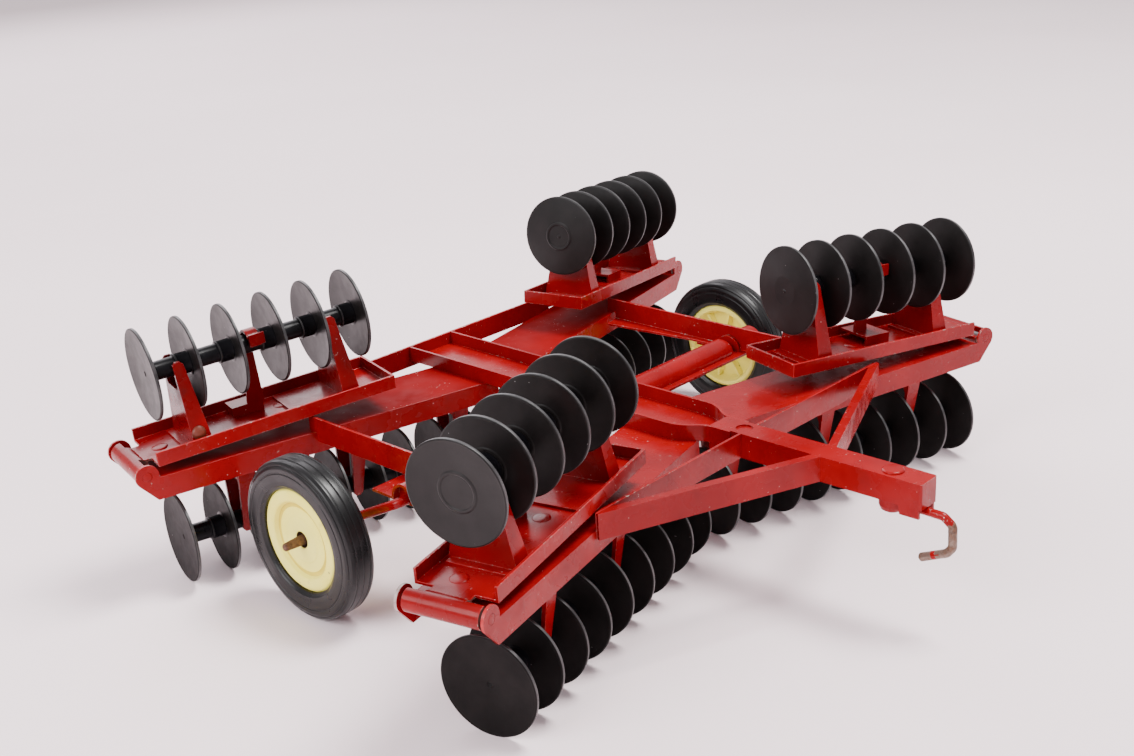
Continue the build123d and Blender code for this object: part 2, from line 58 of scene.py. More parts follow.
# ------------------------------------------------------------------ materials
class Nodes:
    """Short hand for building a node material."""

    def __init__(self, name):
        self.mat = bpy.data.materials.new(name)
        self.mat.use_nodes = True
        self.nt = self.mat.node_tree
        self.bsdf = self.nt.nodes["Principled BSDF"]
        self.coord = self.nt.nodes.new("ShaderNodeTexCoord").outputs["Object"]

    def link(self, a, b):
        self.nt.links.new(a, b)

    def node(self, kind, **props):
        n = self.nt.nodes.new(kind)
        for k, v in props.items():
            setattr(n, k, v)
        return n

    def scaled(self, s):
        m = self.node("ShaderNodeMapping")
        m.inputs["Scale"].default_value = s
        self.link(self.coord, m.inputs["Vector"])
        return m.outputs["Vector"]

    def noise(self, scale, detail=3.0, rough=0.5, vector=None, distort=0.0):
        n = self.node("ShaderNodeTexNoise")
        n.inputs["Scale"].default_value = scale
        n.inputs["Detail"].default_value = detail
        n.inputs["Roughness"].default_value = rough
        n.inputs["Distortion"].default_value = distort
        self.link(vector or self.coord, n.inputs["Vector"])
        return n.outputs["Fac"]

    def cells(self, scale, feature="F1", vector=None):
        n = self.node("ShaderNodeTexVoronoi", feature=feature)
        n.inputs["Scale"].default_value = scale
        self.link(vector or self.coord, n.inputs["Vector"])
        return n

    def step(self, value, lo, hi, a=0.0, b=1.0):
        n = self.node("ShaderNodeMapRange", interpolation_type="SMOOTHSTEP")
        n.inputs["From Min"].default_value = lo
        n.inputs["From Max"].default_value = hi
        n.inputs["To Min"].default_value = a
        n.inputs["To Max"].default_value = b
        self.link(value, n.inputs["Value"])
        return n.outputs["Result"]

    def math(self, op, a, b=None, clamp=False):
        n = self.node("ShaderNodeMath", operation=op, use_clamp=clamp)
        for i, v in enumerate((a, b)):
            if v is None:
                continue
            if isinstance(v, (int, float)):
                n.inputs[i].default_value = v
            else:
                self.link(v, n.inputs[i])
        return n.outputs[0]

    def mix(self, fac, a, b):
        n = self.node("ShaderNodeMix", data_type="RGBA")
        for sock, v in ((n.inputs[0], fac), (n.inputs[6], a), (n.inputs[7], b)):
            if isinstance(v, (int, float)):
                sock.default_value = v
            elif isinstance(v, (tuple, list)):
                sock.default_value = (*v, 1.0) if len(v) == 3 else v
            else:
                self.link(v, sock)
        return n.outputs[2]

    def bump(self, height, strength, distance, normal=None):
        n = self.node("ShaderNodeBump")
        n.inputs["Strength"].default_value = strength
        n.inputs["Distance"].default_value = distance
        self.link(height, n.inputs["Height"])
        if normal is not None:
            self.link(normal, n.inputs["Normal"])
        return n.outputs["Normal"]

    def set(self, **kw):
        for k, v in kw.items():
            sock = self.bsdf.inputs[k.replace("_", " ")]
            if isinstance(v, (int, float)):
                sock.default_value = v
            elif isinstance(v, (tuple, list)):
                sock.default_value = (*v, 1.0) if len(v) == 3 else v
            else:
                self.link(v, sock)
        return self


def paint(name, wear, red=(0.205, 0.0004, 0.0020), red2=(0.265, 0.0010, 0.0030), coat=0.06, gloss=0.17, dull=0.0):
    """Gloss enamel on pressed steel. wear: share of the paint that has gone."""
    m = Nodes(name)
    base = m.mix(m.step(m.noise(38, 4), 0.35, 0.65), red, red2)
    # soft brown film of old dust
    grime = m.step(m.noise(95, 5, 0.62), 0.52, 0.78, 0, 0.34)
    base = m.mix(grime, base, (0.10, 0.006, 0.005))
    # chips down to the pale steel, in clusters
    cluster = m.step(m.noise(60, 2), 0.50 - wear * 0.25, 0.66 - wear * 0.2)
    chip = m.step(m.noise(620, 3, 0.7, distort=0.6), 0.70 - wear * 0.24, 0.72 - wear * 0.22)
    chip = m.math("MULTIPLY", chip, cluster)
    # tiny pale specks of dust and knocks
    v = m.cells(520)
    speck = m.step(v.outputs["Distance"], 0.07, 0.13, 1, 0)
    pick = m.step(m.noise(150, 2), 0.60 - wear * 0.1, 0.63 - wear * 0.1)
    speck = m.math("MULTIPLY", speck, pick)
    steel = m.mix(m.noise(240, 3), (0.50, 0.46, 0.43), (0.24, 0.17, 0.13))
    col = m.mix(chip, base, steel)
    col = m.mix(m.math("MULTIPLY", speck, 0.7), col, (0.80, 0.58, 0.54))
    rough = m.math("ADD", m.step(m.noise(120, 4), 0.3, 0.7, 0.19 + dull, 0.33 + dull), m.math("MULTIPLY", grime, 0.5))
    rough = m.math("ADD", rough, m.math("MULTIPLY", chip, 0.22), clamp=True)
    height = m.math("SUBTRACT", m.noise(1300, 2), m.math("MULTIPLY", chip, 2.5))
    n = m.bump(m.noise(62, 2, 0.4), 0.30, 0.0009)
    n = m.bump(height, 0.09, 0.00006, n)
    m.set(Base_Color=col, Roughness=rough, Metallic=m.math("MULTIPLY", chip, 0.6), Normal=n)
    m.bsdf.inputs["Coat Weight"].default_value = coat
    m.bsdf.inputs["Specular IOR Level"].default_value = gloss
    m.bsdf.inputs["Coat Roughness"].default_value = 0.1
    return m.mat


def plastic_black(name, base=(0.0056, 0.0047, 0.0046), rough=(0.36, 0.44), scratch=0.07, gloss=0.22):
    """Satin black moulding with handling marks."""
    m = Nodes(name)
    soft = m.noise(70, 4, 0.6)
    col = m.mix(m.step(soft, 0.3, 0.75), base, tuple(c * 2.1 for c in base))
    # fine scuffs: stretched noise in two directions
    s1 = m.noise(160, 5, 0.75, m.scaled((1, 9, 2.2)))
    s2 = m.noise(150, 5, 0.75, m.scaled((7, 1, 5)))
    scuff = m.math("MULTIPLY", m.step(s1, 0.62, 0.70), 0.5)
    scuff = m.math("MAXIMUM", scuff, m.math("MULTIPLY", m.step(s2, 0.63, 0.72), 0.4))
    scuff = m.math("MULTIPLY", scuff, scratch)
    col = m.mix(scuff, col, (0.11, 0.11, 0.115))
    dust = m.cells(430)
    speck = m.math("MULTIPLY", m.step(dust.outputs["Distance"], 0.05, 0.10, 1, 0), m.step(m.noise(130, 2), 0.62, 0.66))
    col = m.mix(m.math("MULTIPLY", speck, 0.6), col, (0.42, 0.40, 0.40))
    r = m.step(m.noise(210, 4, 0.6), 0.3, 0.7, *rough)
    r = m.math("ADD", r, m.math("MULTIPLY", scuff, 0.15), clamp=True)
    n = m.bump(m.noise(900, 3), 0.07, 0.00008)
    n = m.bump(m.noise(45, 2), 0.05, 0.0005, n)
    m.set(Base_Color=col, Roughness=r, Normal=n)
    m.bsdf.inputs["Specular IOR Level"].default_value = gloss
    return m.mat


def disc_edge(name):
    """Paler band along the disc rims, a painted highlight for the light the thin edges catch, varied in patches."""
    m = Nodes(name)
    w = m.step(m.noise(60, 4, 0.7), 0.40, 0.65)
    col = m.mix(w, (0.009, 0.0085, 0.0095), (0.055, 0.052, 0.054))
    m.set(Base_Color=col, Roughness=m.step(m.noise(400, 2), 0.3, 0.7, 0.36, 0.5),
          Normal=m.bump(m.noise(1100, 3), 0.1, 0.00006))
    return m.mat


def rubber(name):
    m = Nodes(name)
    dust = m.step(m.noise(55, 5, 0.65), 0.45, 0.8, 0, 0.25)
    col = m.mix(dust, (0.0045, 0.0042, 0.0046), (0.018, 0.017, 0.017))
    scuff = m.step(m.noise(240, 5, 0.75, m.scaled((3, 1, 1))), 0.66, 0.72)
    col = m.mix(m.math("MULTIPLY", scuff, 0.22), col, (0.10, 0.095, 0.09))
    r = m.step(m.noise(130, 3), 0.3, 0.7, 0.26, 0.36)
    n = m.bump(m.noise(1000, 3), 0.10, 0.00008)
    m.set(Base_Color=col, Roughness=r, Normal=m.bump(m.noise(70, 2), 0.1, 0.0005, n))
    m.bsdf.inputs["Specular IOR Level"].default_value = 0.30
    return m.mat


def cream(name, light=(0.98, 0.885, 0.14), lighter=(0.99, 0.915, 0.20)):
    """Yellowed cream moulding with dirt spots."""
    m = Nodes(name)
    col = m.mix(m.step(m.noise(60, 3), 0.3, 0.7), light, lighter)
    stain = m.step(m.noise(130, 5, 0.7), 0.60, 0.80, 0, 0.5)
    col = m.mix(stain, col, (0.42, 0.31, 0.13))
    v = m.cells(330)
    spot = m.math("MULTIPLY", m.step(v.outputs["Distance"], 0.10, 0.20, 1, 0), m.step(m.noise(95, 2), 0.60, 0.64))
    col = m.mix(m.math("MULTIPLY", spot, 0.85), col, (0.07, 0.045, 0.025))
    r = m.step(m.noise(160, 3), 0.3, 0.7, 0.30, 0.44)
    m.set(Base_Color=col, Roughness=r, Normal=m.bump(m.noise(700, 3), 0.08, 0.0001))
    m.bsdf.inputs["Specular IOR Level"].default_value = 0.14
    return m.mat


def rusty(name, steel, rust, amount, metallic=0.85):
    m = Nodes(name)
    f = m.step(m.noise(210, 6, 0.72), 0.62 - amount * 0.35, 0.74 - amount * 0.2)
    fine = m.step(m.noise(900, 4, 0.7), 0.35, 0.7)
    col = m.mix(f, steel, m.mix(fine, rust, tuple(c * 0.35 for c in rust)))
    met = m.math("MULTIPLY", m.math("SUBTRACT", 1.0, f), metallic)
    r = m.math("ADD", m.step(m.noise(300, 4), 0.3, 0.7, 0.30, 0.45), m.math("MULTIPLY", f, 0.32), clamp=True)
    n = m.bump(m.math("ADD", m.noise(1100, 4, 0.7), m.math("MULTIPLY", f, 0.8)), 0.35, 0.00012)
    m.set(Base_Color=col, Metallic=met, Roughness=r, Normal=n)
    return m.mat


RED = paint("Red paint", 0.08)
# worn-edge paint: more chips to bare steel, and a lighter pinkish red that is a painted sheen along the edges
EDGE = paint("Red paint, worn edge and painted sheen", 0.56, (0.32, 0.006, 0.008), (0.46, 0.030, 0.034))
FLOORRED = paint("Red paint, handled", 0.25)
# darker, dull red for the top faces of the rear beams; the darker colour is painted shade under the wing trays
RED_PAINTED_SHADE = paint("Red paint, painted shade", 0.10, (0.17, 0.0004, 0.0016), (0.22, 0.0010, 0.0026), 0.0, 0.03, 0.25)
WORN = rusty("Worn ear", (0.40, 0.32, 0.30), (0.24, 0.05, 0.04), 0.35, 0.3)
BARE = rusty("Bare steel edge", (0.50, 0.46, 0.42), (0.19, 0.09, 0.045), 0.22, 0.75)
PIN = rusty("Pin steel", (0.42, 0.42, 0.43), (0.16, 0.09, 0.05), 0.30)
WIRE = rusty("Rusty wire", (0.23, 0.17, 0.135), (0.15, 0.062, 0.028), 0.62, 0.7)
AXLE = rusty("Rusty axle", (0.17, 0.10, 0.065), (0.12, 0.042, 0.016), 0.8, 0.6)
HOLE = rusty("Rusty hole", (0.10, 0.05, 0.03), (0.06, 0.022, 0.010), 0.8, 0.3)
ROLLEND = rusty("Dull roll end", (0.16, 0.06, 0.05), (0.09, 0.03, 0.022), 0.55, 0.3)
HEAD = rusty("Pale pin head", (0.62, 0.62, 0.60), (0.25, 0.19, 0.14), 0.12, 0.35)
BRASS = rusty("Brown rivet", (0.17, 0.030, 0.014), (0.11, 0.022, 0.010), 0.45, 0.1)
DISC = plastic_black("Disc plastic")
DISC_LOW = plastic_black("Lower disc plastic", (0.0052, 0.0043, 0.0042), (0.48, 0.56), 0.07, 0.09)
RIM = disc_edge("Disc rim")
TUBE = plastic_black("Spacer plastic", (0.0040, 0.0038, 0.0048), (0.26, 0.34), 0.1, 0.13)
PIT = plastic_black("Shaded pit", (0.0010, 0.0008, 0.0008), (0.6, 0.7), 0.1)
TYRE = rubber("Tyre")
CREAM = cream("Hub plastic")
# darker cream for the step ring of the hub face: painted shade in the recess corner
CREAM_PAINTED_SHADE = cream("Hub plastic, painted shade in step", (0.66, 0.52, 0.05), (0.78, 0.64, 0.08))


# -------------------------------------------------------------------- helpers
def P(x, y, z):
    """Millimetres of the layout to metres of the shared frame."""
    return Vector((x * MM, (y + SY) * MM, z * MM))


def add(name, verts, faces, mats, index=None, smooth=35.0):
    me = bpy.data.meshes.new(name)
    me.from_pydata([tuple(v) for v in verts], [], faces)
    for m in mats:
        me.materials.append(m)
    if index is not None:
        me.polygons.foreach_set("material_index", index)
    me.update()
    o = bpy.data.objects.new(name, me)
    bpy.context.scene.collection.objects.link(o)
    if smooth:
        me.shade_smooth()
        me.set_sharp_from_angle(angle=math.radians(smooth))
    return o


def give(o, body, slot, *nodes):
    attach(o, body)
    if nodes:
        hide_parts(*nodes)
    return o


def rounded(points, r, steps=3, closed=False):
    """Polyline (a, b) with its corners rounded; a point may carry its own radius."""
    out = []
    n = len(points)
    for i, p in enumerate(points):
        rad = p[2] if len(p) > 2 else r
        if (not closed and i in (0, n - 1)) or rad <= 0:
            out.append((p[0], p[1]))
            continue
        a, c, b = Vector(points[i - 1][:2]), Vector(p[:2]), Vector(points[(i + 1) % n][:2])
        da, db = (a - c), (b - c)
        la, lb = da.length, db.length
        if la < 1e-9 or lb < 1e-9:
            out.append((p[0], p[1]))
            continue
        da, db = da / la, db / lb
        ang = da.angle(db)
        t = min(rad / max(math.tan(ang / 2), 1e-4), la * 0.48, lb * 0.48)
        s, e = c + da * t, c + db * t
        for k in range(steps + 1):
            f = k / steps
            q = s * (1 - f) ** 2 + c * 2 * f * (1 - f) + e * f ** 2
            out.append((q.x, q.y))
    return out


class Lathe:
    """Collects turned profiles along a local X axis into one mesh."""

    def __init__(self):
        self.v, self.f, self.m = [], [], []

    def turn(self, prof, seg, mat=0, closed=False, pick=None, wob=None):
        """prof: (x, r). pick(x, r) may choose another material for a band."""
        base = len(self.v)
        n = len(prof)
        for x, r in prof:
            for k in range(seg):
                a = 2 * math.pi * k / seg
                rr, xx = r, x
                if wob:
                    xx, rr = wob(x, r, a)
                self.v.append((xx, rr * math.cos(a), rr * math.sin(a)))
        for i in range(n if closed else n - 1):
            j = (i + 1) % n
            mid = ((prof[i][0] + prof[j][0]) / 2, (prof[i][1] + prof[j][1]) / 2)
            mm = pick(*mid) if pick else mat
            for k in range(seg):
                k2 = (k + 1) % seg
                self.f.append((base + i * seg + k, base + i * seg + k2, base + j * seg + k2, base + j * seg + k))
                self.m.append(mm)
        return self

    def build(self, name, matrix, mats, smooth=35.0, flip=False):
        verts = [matrix @ (Vector(p) * MM) for p in self.v]
        o = add(name, verts, self.f, mats, self.m, None)
        bm = bmesh.new()
        bm.from_mesh(o.data)
        bmesh.ops.remove_doubles(bm, verts=bm.verts, dist=2e-6)
        bmesh.ops.dissolve_degenerate(bm, dist=1e-6, edges=bm.edges)
        bmesh.ops.recalc_face_normals(bm, faces=bm.faces)
        bm.to_mesh(o.data)
        bm.free()
        o.data.shade_smooth()
        o.data.set_sharp_from_angle(angle=math.radians(smooth))
        return o


def axis_matrix(origin, direction):
    """Local X along direction, origin in metres."""
    x = Vector(direction).normalized()
    up = Vector((0, 0, 1)) if abs(x.z) < 0.9 else Vector((0, 1, 0))
    y = up.cross(x).normalized()
    z = x.cross(y)
    m = Matrix((x, y, z)).transposed().to_4x4()
    m.translation = Vector(origin)
    return m


def beam_frame(row, side):
    """Matrix of a beam: local X outwards, Y rearwards (mm scaled apart)."""
    s, ox, oy, ang = BEAMS[row]
    a = math.radians(s * ang)
    sg = 1 if side == "left" else -1
    m = Matrix(((sg * math.cos(a), -sg * math.sin(a), 0, sg * ox * MM),
                (math.sin(a), math.cos(a), 0, (oy + SY) * MM),
                (0, 0, 1, 0), (0, 0, 0, 1)))
    return m


# ------------------------------------------------------- pressed-sheet pieces
def sheet(node, slot="red_paint", soft=None, small=0.2, rules=(), mats=None, merge=0.004, steps=2):
    """A new mesh after the CAD node: clean faces, bent edges rounded by the
    rule soft(a, b, faces) -> radius in mm, every other edge broken a little,
    worn and given a painted pinkish sheen.  rules: (test(centre, normal) -> bool, material index)."""
    src = frame["nodes"][node]
    bm = bmesh.new()
    bm.from_mesh(src.data)
    bmesh.ops.remove_doubles(bm, verts=bm.verts, dist=merge * MM)
    bmesh.ops.dissolve_limit(bm, angle_limit=math.radians(1.2), verts=bm.verts, edges=bm.edges, use_dissolve_boundaries=False)
    bm.normal_update()
    mats = mats or [RED, EDGE, BARE, FLOORRED, ROLLEND]
    if soft:
        groups = {}
        for e in bm.edges:
            if len(e.link_faces) != 2 or not e.is_convex or e.calc_face_angle(0) < math.radians(35):
                continue
            r = soft(e.verts[0].co / MM - Vector((0, SY, 0)), e.verts[1].co / MM - Vector((0, SY, 0)), e)
            if r:
                groups.setdefault(r, []).append(e)
        for r, es in sorted(groups.items(), reverse=True):
            es = [e for e in es if e.is_valid]
            bmesh.ops.bevel(bm, geom=es, offset=r * MM, segments=4, profile=0.5, affect="EDGES", clamp_overlap=True)
    for f in bm.faces:
        f.material_index = 0
    # the small bevels take material 1, the worn-edge paint with its painted pinkish sheen
    if small:
        es = [e for e in bm.edges if len(e.link_faces) == 2 and e.calc_face_angle(0) > math.radians(28)]
        bmesh.ops.bevel(bm, geom=es, offset=small * MM, segments=steps, profile=0.6, affect="EDGES", clamp_overlap=True, material=1)
    bm.normal_update()
    for f in bm.faces:
        c = f.calc_center_median() / MM - Vector((0, SY, 0))
        for test, idx in rules:
            if test(c, f.normal):
                f.material_index = idx
                break
    me = bpy.data.meshes.new("look_" + node)
    bm.to_mesh(me)
    bm.free()
    for m in mats:
        me.materials.append(m)
    o = bpy.data.objects.new("look_" + node, me)
    bpy.context.scene.collection.objects.link(o)
    me.shade_smooth()
    me.set_sharp_from_angle(angle=math.radians(40))
    mod = o.modifiers.new("wn", "WEIGHTED_NORMAL")
    mod.keep_sharp = True
    return give(o, NODE_BODY[node], slot, node)


def long_top(z, tol=0.3, least=12.0, r=0.75):
    """Bend radius on long edges at height z."""
    def rule(a, b, e):
        if abs(a.z - z) < tol and abs(b.z - z) < tol and (a - b).length > least:
            return r
    return rule


sheet("drawbar", soft=lambda a, b, e: 0.9 if abs(a.z - TOP_Z) < 0.1 and abs(b.z - TOP_Z) < 0.1 and abs(a.x) > 4.9 and abs(b.x) > 4.9 else
      (1.6 if abs(a.x) > 4.9 and abs(b.x) > 4.9 and abs(a.y + 171) < 0.2 and abs(b.y + 171) < 0.2 and a.x * b.x > 0 else None),
      rules=[(lambda c, n: c.y < -170.6 and c.z > TOP_Z - 0.6, 2)])
sheet("centre_trough")
sheet("rear_cross_rail")
for sname, side in SIDES:
    sheet("side_rail_" + sname)
    sheet("cross_tube_" + sname, small=0.15)
    sheet("axle_bearing_" + sname, small=0.15)
    sheet("front_cross_strip_" + sname)
    sheet("front_brace_" + sname)
    for row in BEAMS:
        bf = beam_frame(row, sname)
        pin = (bf @ Vector((HINGE_U * MM, 0, HINGE_Z * MM))) / MM - Vector((0, SY, 0))
        ydir = (bf.to_3x3() @ Vector((0, 1, 0))).normalized()

        def near_pin(c, reach, pin=pin, ydir=ydir):
            d = c - pin
            return (d - ydir * d.dot(ydir)).length < reach

        # ear rims take material 1, the worn-edge paint with its painted sheen
        def ear_rim(c, n, pin=pin, ydir=ydir):
            d = c - pin
            d -= ydir * d.dot(ydir)
            return 3.9 < d.length < 4.6 and n.dot(d.normalized()) > 0.4

        def worn_ear(c, n, pin=pin, ydir=ydir, rim=ear_rim, row=row):
            return row == "front" and (c - pin).dot(ydir) > 4 and rim(c, n)

        def roll_end(c, n, pin=pin, ydir=ydir):
            d = c - pin
            d -= ydir * d.dot(ydir)
            return d.length < 4.0 and abs(n.dot(ydir)) > 0.35

        # the rear beams' top faces take the darker red, a painted shade
        sheet(f"{row}_beam_{sname}", soft=long_top(BEAM_TOP, 0.05, 20.0, 0.8),
              rules=[(worn_ear, 2), (ear_rim, 1)] + ([(lambda c, n: c.z > BEAM_TOP - 0.2 and n.z > 0.9, 3)] if row == "rear" else []),
              mats=[RED, EDGE, WORN, RED_PAINTED_SHADE])
        sheet(f"{row}_gang_brackets_{sname}", small=0.18)
        sheet(f"wing_tray_{row}_{sname}", small=0.3, rules=[(roll_end, 4)])
        sheet(f"wing_brackets_{row}_{sname}", small=0.18)


# ----------------------------------------------------------------- disc gangs
DISC_R, DISC_T, DISH = 17.5, 1.3, 1.3
SPACING, WING_SPACING = 15.76, 16.54


def disc_profile(u, ring=True, nub=0.0):
    """Closed profile of one dished disc; ring: raised ring round the hub, nub: centre mark."""
    t = DISC_T
    front = [(u + t + 0.1 + nub, 0.0, 0), (u + t + 0.1 + nub, 0.75), (u + t + 0.1, 1.15)]
    if ring:
        front += [(u + t + 0.1, 5.5), (u + t + 0.36, 5.9), (u + t + 0.36, 6.5), (u + t + 0.08, 7.0)]
    front += [(u + t + 0.5, 10.5, 0), (u + t + DISH - 0.1, 16.6), (u + t + DISH + 0.0, 17.0), (u + t + DISH - 0.22, DISC_R, 0.12)]
    back = [(u + DISH + 0.12, DISC_R, 0.12), (u + DISH - 0.08, 16.8), (u + 0.45, 10.5, 0), (u + 0.02, 6.0), (u, 5.0), (u, 0.0, 0)]
    return rounded(front + back, 0.22, 2)


def gang(node, body, count, pitch, first, joint, ring=True, nub=0.0, mark=""):
    """first: layout position of disc 0 along the gang axis, joint at 0."""
    j = JOINTS[joint]
    M = axis_matrix(j["pos_m"], j["axis"])
    L = Lathe()
    for k in range(count):
        u = first + k * pitch
        tilt = rng.uniform(-0.12, 0.12)
        ph = rng.uniform(0, 6.28)

        def wob(x, r, a, u=u, tilt=tilt, ph=ph):
            return x + tilt * (r / DISC_R) ** 2 * math.cos(a + ph), r
        prof = disc_profile(u, ring, nub)
        # the rim band takes the paler rim material, a painted highlight; the centre pit of dimpled discs takes
        # near-black plastic, a painted shade
        L.turn(prof, 96, 0, pick=lambda x, r, u=u: 1 if r > 17.36 else (3 if nub < 0 and r < 0.9 and x > u + 0.5 else 0), wob=wob)
        if k < count - 1:
            # collar with a thin flange at its outer end, then the spacer tube; the flange's rim takes the paler rim
            # material, a painted highlight
            a, b, c = u + DISC_T, u + 7.2, u + pitch
            tube = rounded([(a, 5.2, 0), (a + 0.35, 5.15, 0.1), (a + 0.5, 4.2), (b - 0.95, 4.15), (b - 0.85, 4.42), (b - 0.25, 4.42), (b - 0.1, 4.1),
                            (b, 3.68), (b + 0.3, 3.62), (c - 2.2, 3.6), (c - 1.9, 3.72), (c - 0.05, 3.78, 0)], 0.1, 2)
            L.turn(tube, 44, 2, pick=lambda x, r, b=b: 1 if b - 0.86 < x < b - 0.2 and r > 4.36 else 2)
        if k == 0 and mark == "ring":
            L.turn(rounded([(u + 0.1, 4.7, 0), (u - 0.05, 4.95), (u - 0.32, 5.2), (u - 0.34, 5.9), (u - 0.05, 6.25), (u + 0.15, 6.6, 0)], 0.12, 2), 64, 0)
        if k == 0 and mark:
            L.turn(rounded([(u - 0.30, 0, 0), (u - 0.28, 0.5), (u + 0.06, 0.95, 0)], 0.12, 2), 32, 0)
    o = L.build("look_" + node, M, [DISC_LOW if count == 9 else DISC, RIM, TUBE, PIT], 30)
    return give(o, body, "disc_plastic", node)


for row in BEAMS:
    for sname, side in SIDES:
        gang(f"{row}_gang_{sname}", f"disc_gang_{row}_{sname}", 9, SPACING, -4 * SPACING, f"disc_gang_{row}_{sname}_spin", False, 0.25 if row == "rear" else -0.45)
        gang(f"wing_gang_{row}_{sname}", f"disc_gang_{row}_{sname}_wing", 6, WING_SPACING,
             -2.5 * WING_SPACING - DISH / 2, f"disc_gang_{row}_{sname}_wing_spin", (row, sname) in (("front", "right"), ("rear", "left")),
             0.3 if (row, sname) in (("rear", "right"), ("front", "left")) else 0.0, {("rear", "left"): "ring", ("front", "left"): "dot"}.get((row, sname), ""))


# --------------------------------------------------------------------- wheels
ROD_R, TYRE_R, HUB_R = 1.8, 30.3, 19.6
for sname, side in SIDES:
    j = JOINTS[f"wheel_{sname}_spin"]
    M = axis_matrix(j["pos_m"], (side, 0, 0))
    # tyre: bead, stepped sidewalls, grooved tread
    half = [(3.6, HUB_R - 0.05, 0), (4.7, HUB_R + 0.15), (5.2, 20.6), (5.72, 21.2, 0.5), (5.96, 22.8, 0.8), (5.98, 25.5), (5.74, 25.7, 0.1), (5.74, 25.95, 0.1), (5.95, 26.15),
            (5.88, 27.4, 0.6), (5.55, 28.3), (5.16, 28.45, 0.1), (5.12, 28.7, 0.1), (5.25, 28.9), (4.75, 29.7, 0.5), (3.6, 30.2, 0.5), (3.05, 30.25), (2.85, 29.95, 0.1), (2.65, 29.95, 0.1),
            (2.45, 30.26), (0.35, 30.3), (0.0, 30.12, 0.2)]
    prof = half + [(-p[0], *p[1:]) for p in reversed(half)]
    L = Lathe()
    L.turn(rounded(prof, 0.28, 3), 128, 0)
    L.turn([(3.6, HUB_R - 0.05), (-3.6, HUB_R - 0.05)], 128, 0)
    give(L.build("look_tyre_" + sname, M, [TYRE], 50), "wheel_" + sname, "tyre", "tyre_" + sname)
    # hub: outer face first
    outer = [(0.9, 1.88, 0), (0.9, 2.9, 0.1), (3.2, 3.15, 0.2), (3.36, 3.7), (3.3, 8.4), (3.05, 9.0), (2.95, 12.3, 0.6), (2.45, 13.3, 0.4), (2.55, 14.0, 0.3), (4.1, 14.7, 0.5),
             (4.45, 15.4, 0.5), (4.6, 17.6, 0.8), (4.35, 18.7), (3.6, HUB_R)]
    inner = [(-3.6, HUB_R), (-4.4, 18.7), (-4.6, 18.2), (-4.6, 17.2), (-4.3, 16.9), (0.2, 15.7), (0.8, 15.2), (0.9, 5.6), (0.6, 5.1), (-4.1, 4.5), (-4.5, 4.2), (-4.55, 1.9, 0.2)]
    bore = [(0.9, 1.87), (-4.55, 1.87)]
    L = Lathe()
    # the step ring (r 12.6 to 14.3) takes the darker cream, a painted shade
    L.turn(rounded(outer + inner, 0.32, 3), 112, 0, pick=lambda x, r: 1 if r < 3.12 and x > 0 else (2 if 12.6 < r < 14.3 and x > 0 else 0))
    L.turn(bore, 48, 0)
    o = L.build("look_wheel_hub_" + sname, M, [CREAM, HOLE, CREAM_PAINTED_SHADE], 40)
    bm = bmesh.new()
    bm.from_mesh(o.data)
    # ribs on the hollow inner side
    for k in range(8):
        a = math.radians(45 * k + 12)
        ca, sa = math.cos(a), math.sin(a)
        pts = []
        for x, r in ((0.7, 4.6), (-3.2, 4.7), (-3.6, 5.4), (-3.0, 9.0), (-2.6, 12.0), (-2.6, 15.9), (0.7, 15.6)):
            for t in (-0.45, 0.45):
                pts.append(bm.verts.new(M @ (Vector((x, r * ca - t * sa, r * sa + t * ca)) * MM)))
        n = len(pts) // 2
        A, B = pts[0::2], pts[1::2]
        bm.faces.new(A)
        bm.faces.new(B[::-1])
        for i in range(n):
            bm.faces.new((A[i], B[i], B[(i + 1) % n], A[(i + 1) % n]))
    bm.normal_update()
    bmesh.ops.recalc_face_normals(bm, faces=bm.faces)
    bm.to_mesh(o.data)
    bm.free()
    o.data.shade_smooth()
    o.data.set_sharp_from_angle(angle=math.radians(40))
    give(o, "wheel_" + sname, "hub_plastic", "wheel_hub_" + sname)


# --------------------------------------------------- rods, hook, pins, rivets
def fillet(points, r, steps=8):
    pts = [Vector(p) for p in points]
    out = [pts[0]]
    for a, c, b in zip(pts, pts[1:], pts[2:]):
        da, db = (a - c), (b - c)
        la, lb = da.length, db.length
        da, db = da / la, db / lb
        ang = da.angle(db)
        t = min(r / math.tan(ang / 2), la * 0.49, lb * 0.49)
        s, e = c + da * t, c + db * t
        for k in range(steps + 1):
            f = k / steps
            out.append(s * (1 - f) ** 2 + c * 2 * f * (1 - f) + e * f * f)
    out.append(pts[-1])
    return out


